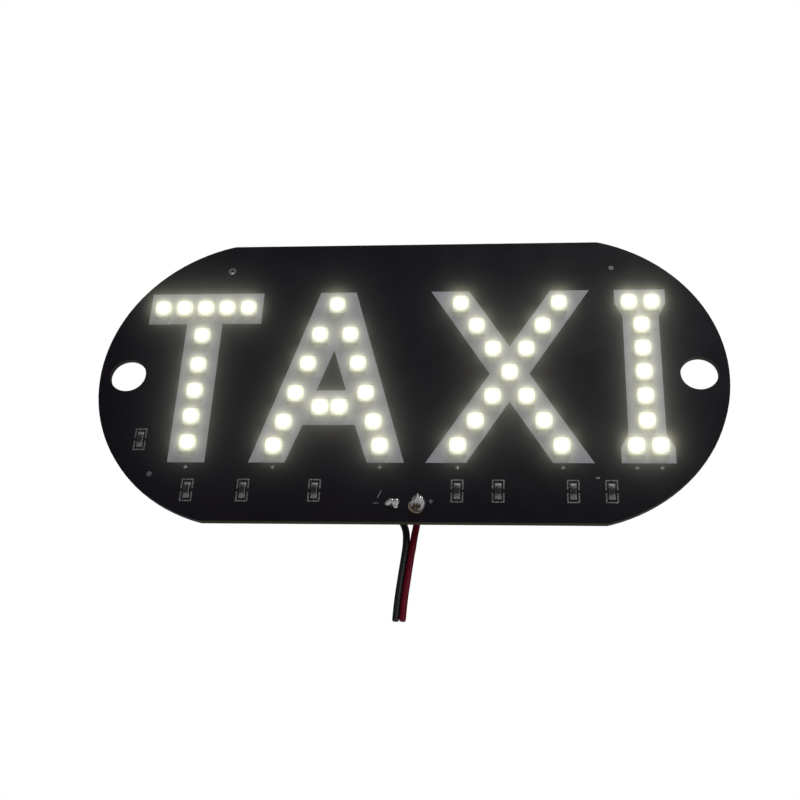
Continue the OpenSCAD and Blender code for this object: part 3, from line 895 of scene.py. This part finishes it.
def make_bare_pads():
    """Crowned tinned discs. The wide one has a hole, and a bead of solder low on its ring."""
    shape = Shape()
    for box in islands("fiducial_pads"):
        place = middle(box)
        radius = box_size(box)[0] / 2
        drilled = radius > DRILLED_FROM_R
        inner = VIA_R if drilled else PAD_MIDDLE_R
        levels = [(h, radius + (inner - radius) * share) for h, share in PAD_CROWN]
        if drilled:
            levels += [(0.0, inner), (-0.04, inner)]
        loops = [
            shape.loop([on_face(place, p.x * r, p.y * r, h) for p in circle(1.0, PAD_SIDES)])
            for h, r in levels]
        if drilled:
            shape.skin(loops + [loops[0]], caps=False)
            bead = [
                shape.loop([on_face(place, p.x * BEAD_STRETCH, p.y - BEAD_DROP, h) for p in circle(r, 20)])
                for h, r in BEAD]
            shape.skin(bead, 1)
        else:
            shape.skin(loops)
    pads = shape.build("crowned_pads", ["aged_pad", "solder"], record_slot="tinned_pad")
    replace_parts(pads, "fiducial_pads")


BOARD_T = 1.6
BORE_R = 0.69
SKIRT_R = 1.35
HEAP_SIDES = 96
HEAP_STEPS = 30
HEAP_UNEVEN = 0.1
HEAP_RIM_SHARE = 0.985
HEAP_LIFT = 0.015


def lobe_reach(lobes, angle):
    """How far a ray from the middle runs before it leaves the last lobe."""
    ray = Vector((math.cos(angle), math.sin(angle)))
    reach = 0.2
    for u, v, radius, _ in lobes:
        along = ray.x * u + ray.y * v
        inside = along * along - (u * u + v * v) + radius * radius
        if inside > 0:
            reach = max(reach, along + math.sqrt(inside))
    return reach


def lobe_height(lobes, peak, u, v):
    """The height of overlapping drops at a point, with a drawn-out peak on top."""
    total = 0.0
    for centre_u, centre_v, radius, height in lobes:
        away = ((u - centre_u) ** 2 + (v - centre_v) ** 2) / radius ** 2
        total += (height * math.sqrt(max(0.0, 1 - away))) ** 3
    height = total ** (1 / 3)
    if peak:
        centre_u, centre_v, radius, rise = peak
        away = math.hypot(u - centre_u, v - centre_v) / radius
        height += rise * max(0.0, 1 - away) ** 1.4
    return height


def flux_and_shade_share(flux_and_shade_spots, u, v):
    """The share of burnt flux, and on the left lump of painted shade, at a point: 1 in the middle of a
    spot, fading out.
    """
    return max(math.exp(-(((u - a) ** 2 + (v - b) ** 2) / r ** 2) ** 2) for a, b, r in flux_and_shade_spots)


def add_heap(shape, place, lobes, lean, flux_and_shade_spots, peak=None):
    """A lump of solder in front of a lead hole, the fill of the hole, and a skirt behind it.

    A lobe is (u, v, radius, height), a dark spot (u, v, radius) and a peak (u, v, radius, rise). The right
    joint's dark spots are burnt flux; the left lump's is painted shade.
    """
    rings = []
    back = [
        (-BOARD_T - 0.62, 0.47, 0.0), (-BOARD_T - 0.45, 0.62, 0.0), (-BOARD_T - 0.12, 1.05, 0.2),
        (-BOARD_T - 0.003, SKIRT_R, 0.7), (-BOARD_T + 0.01, BORE_R, 0.0), (0.0, BORE_R, 0.0)]
    for h, r, stain in back:
        rings.append(shape.loop([on_face(place, p.x, p.y, h) for p in circle(r, HEAP_SIDES)], stain))
    angles = [math.tau * k / HEAP_SIDES for k in range(HEAP_SIDES)]
    reaches = [lobe_reach(lobes, angle) for angle in angles]
    soft = [sum(reaches[(k + j) % HEAP_SIDES] for j in range(-2, 3)) / 5 for k in range(HEAP_SIDES)]
    tallest = max(height for _, _, _, height in lobes) + (peak[3] if peak else 0.0)
    for step in range(HEAP_STEPS):
        share = 1 - (step / HEAP_STEPS) ** 0.85
        ring = []
        flux_and_shade_shares = []
        for k, angle in enumerate(angles):
            u = soft[k] * share * math.cos(angle)
            v = soft[k] * share * math.sin(angle)
            rough = HEAP_UNEVEN * noise.noise(Vector((u * 1.3 + place[0], v * 1.3, 2.0)))
            h = lobe_height(lobes, peak, u * HEAP_RIM_SHARE, v * HEAP_RIM_SHARE) * (1 + rough)
            h += HEAP_LIFT if step else 0.0
            bend = (h / tallest) ** 2
            ring.append(on_face(place, u + lean[0] * bend, v + lean[1] * bend, h))
            flux_and_shade_shares.append(max(flux_and_shade_share(flux_and_shade_spots, u, v), 0.0 if step else 0.5))
        rings.append(shape.loop(ring, flux_and_shade_shares))
    shape.skin(rings)


def lead_hole(colour):
    """The (x, z) centre of a wire's hole in the board."""
    low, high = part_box(colour + "_conductor")
    return ((low.x + high.x) / 2 / MM, (low.z + high.z) / 2 / MM)


def make_solder_joints():
    """The left joint is an uneven lump, the right one a round heap drawn up to a point."""
    lump = Shape()
    add_heap(
        lump, lead_hole("black"),
        lobes=[
            (-0.1, 0.15, 1.15, 1.05), (-1.35, 0.0, 0.85, 0.8), (-0.45, 0.65, 0.95, 0.75),
            (1.15, 0.25, 1.05, 1.25), (1.05, -0.9, 0.75, 0.65)],
        # The left lump's dark spot is painted shade of its underside, low in the middle, in flux brown.
        lean=(0.1, 0.15), flux_and_shade_spots=[(-0.2, -0.95, 0.6)])
    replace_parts(lump.build("black_joint_lump", ["solder"], 60), "black_solder_joint")
    cone = Shape()
    add_heap(
        cone, lead_hole("red"),
        lobes=[(0.35, 0.4, 2.35, 2.1), (0.15, 1.0, 2.0, 1.95), (1.65, 0.55, 0.95, 1.75)],
        lean=(0.2, 0.9), flux_and_shade_spots=[(-0.75, -1.1, 0.7), (0.15, -1.25, 0.8), (0.85, -1.15, 0.55)],
        peak=(0.2, 1.2, 1.1, 0.8))
    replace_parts(cone.build("red_joint_cone", ["solder"], 60), "red_solder_joint")


# Studio --------------------------------------------------------------------------------

FLOOR_Z = -0.27
FLOOR_REACH = 6.0
BLOOM_THRESHOLD = 1.3
# The strength, size and tint of each bloom.
BLOOMS = [(1.75, 0.03, (0.98, 1, 0.82)), (0.33, 0.06, (0.95, 0.95, 1)), (0.47, 0.14, (0.84, 0.82, 1))]


def make_floor():
    """A wide pale floor, well below the sign, with painted light that brightens it to white far away."""
    mesh = bpy.data.meshes.new("studio_floor")
    corners = [(-1, -1), (1, -1), (1, 1), (-1, 1)]
    mesh.from_pydata([(x * FLOOR_REACH, y * FLOOR_REACH, FLOOR_Z) for x, y in corners], [], [(0, 1, 2, 3)])
    floor = bpy.data.objects.new("studio_floor", mesh)
    bpy.context.scene.collection.objects.link(floor)
    made = Finish("studio_floor", 0.7)
    made.colour(made.ramp(made.noise(0.02, 3.0), (0.3, 0.78), (0.7, 0.82)))
    away = made.distance((0, 0, 0), FLOOR_REACH / MM)
    # Painted light: the floor glows faintly near the sign and nearly white far away.
    made.emit(made.ramp(away, (0.08, 0.08), (0.3, 0.5), (0.6, 0.92)), 1.0)
    mesh.materials.append(made.material)


def make_light(name, place, aim, size, power):
    """A soft square light that looks at a point, all in metres."""
    lamp = bpy.data.lights.new(name, "AREA")
    lamp.size = size
    lamp.energy = power
    light = bpy.data.objects.new(name, lamp)
    bpy.context.scene.collection.objects.link(light)
    light.location = Vector(place)
    light.rotation_euler = (Vector(aim) - Vector(place)).to_track_quat("-Z", "Y").to_euler()


def make_studio():
    """Soft light all round, brighter from the upper right, on a white background."""
    make_floor()
    make_light("key", (0.3, -0.4, 0.95), (0, 0, 0), 0.3, 4.8)
    make_light("fill", (0.8, -0.8, 0.35), (0, 0, 0), 0.5, 1.6)
    make_light("top", (0.0, 0.1, 1.4), (0, 0, -0.3), 2.0, 9.0)
    world = bpy.data.worlds.new("studio")
    bpy.context.scene.world = world
    world.use_nodes = True
    nodes, links = world.node_tree.nodes, world.node_tree.links
    soft = nodes["Background"]
    soft.inputs["Color"].default_value = (0.95, 0.97, 1.0, 1)
    soft.inputs["Strength"].default_value = 0.13
    white = nodes.new("ShaderNodeBackground")
    white.inputs["Strength"].default_value = 1.0
    white.inputs["Color"].default_value = (1, 1, 1, 1)
    path = nodes.new("ShaderNodeLightPath")
    mix = nodes.new("ShaderNodeMixShader")
    links.new(path.outputs["Is Camera Ray"], mix.inputs["Fac"])
    links.new(soft.outputs[0], mix.inputs[1])
    links.new(white.outputs[0], mix.inputs[2])
    links.new(mix.outputs[0], nodes["World Output"].inputs["Surface"])
    bpy.context.scene.view_settings.view_transform = "Standard"


def make_bloom():
    """The bloom that a camera's lens gives the lit windows: a tight glow, then wider, fainter ones."""
    scene = bpy.context.scene
    scene.use_nodes = True
    tree = scene.node_tree
    tree.nodes.clear()
    picture = tree.nodes.new("CompositorNodeRLayers").outputs["Image"]
    for strength, size, tint in BLOOMS:
        bloom = tree.nodes.new("CompositorNodeGlare")
        bloom.glare_type = "BLOOM"
        bloom.quality = "HIGH"
        bloom.inputs["Threshold"].default_value = BLOOM_THRESHOLD
        bloom.inputs["Strength"].default_value = strength
        bloom.inputs["Size"].default_value = size
        bloom.inputs["Tint"].default_value = (*tint, 1)
        tree.links.new(picture, bloom.inputs["Image"])
        picture = bloom.outputs["Image"]
    output = tree.nodes.new("CompositorNodeComposite")
    tree.links.new(picture, output.inputs["Image"])


make_camera()
make_lead()
finish_cad_nodes()
make_leds()
make_resistors()
make_bare_pads()
make_solder_joints()
make_studio()
make_bloom()
